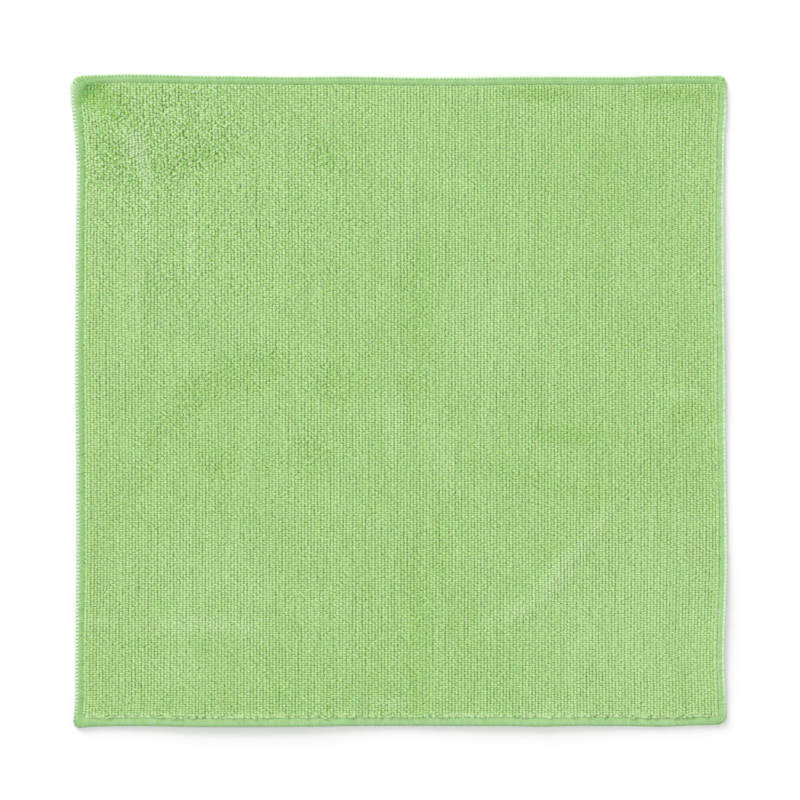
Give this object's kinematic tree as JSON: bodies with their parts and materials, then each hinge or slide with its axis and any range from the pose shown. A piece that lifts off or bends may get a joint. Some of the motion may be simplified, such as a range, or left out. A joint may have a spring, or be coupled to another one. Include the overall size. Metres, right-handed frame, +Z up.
{
  "type": "microfibre cleaning cloth",
  "caption": "Square green looped-pile microfibre cloth lying flat, with an overlocked edge and soft creases.",
  "frame": {"origin": "centre of the footprint, on the surface the cloth lies on", "axes": "+Z up out of the cloth's face, +X towards its right side and +Y towards its top side as seen from above"},
  "size_m": [0.4032, 0.4012, 0.0043],
  "materials": {
    "green_microfibre": "soft looped pile, matte"
  },
  "bodies": {
    "root": {"cloth": "green_microfibre"}
  },
  "joints": []
}
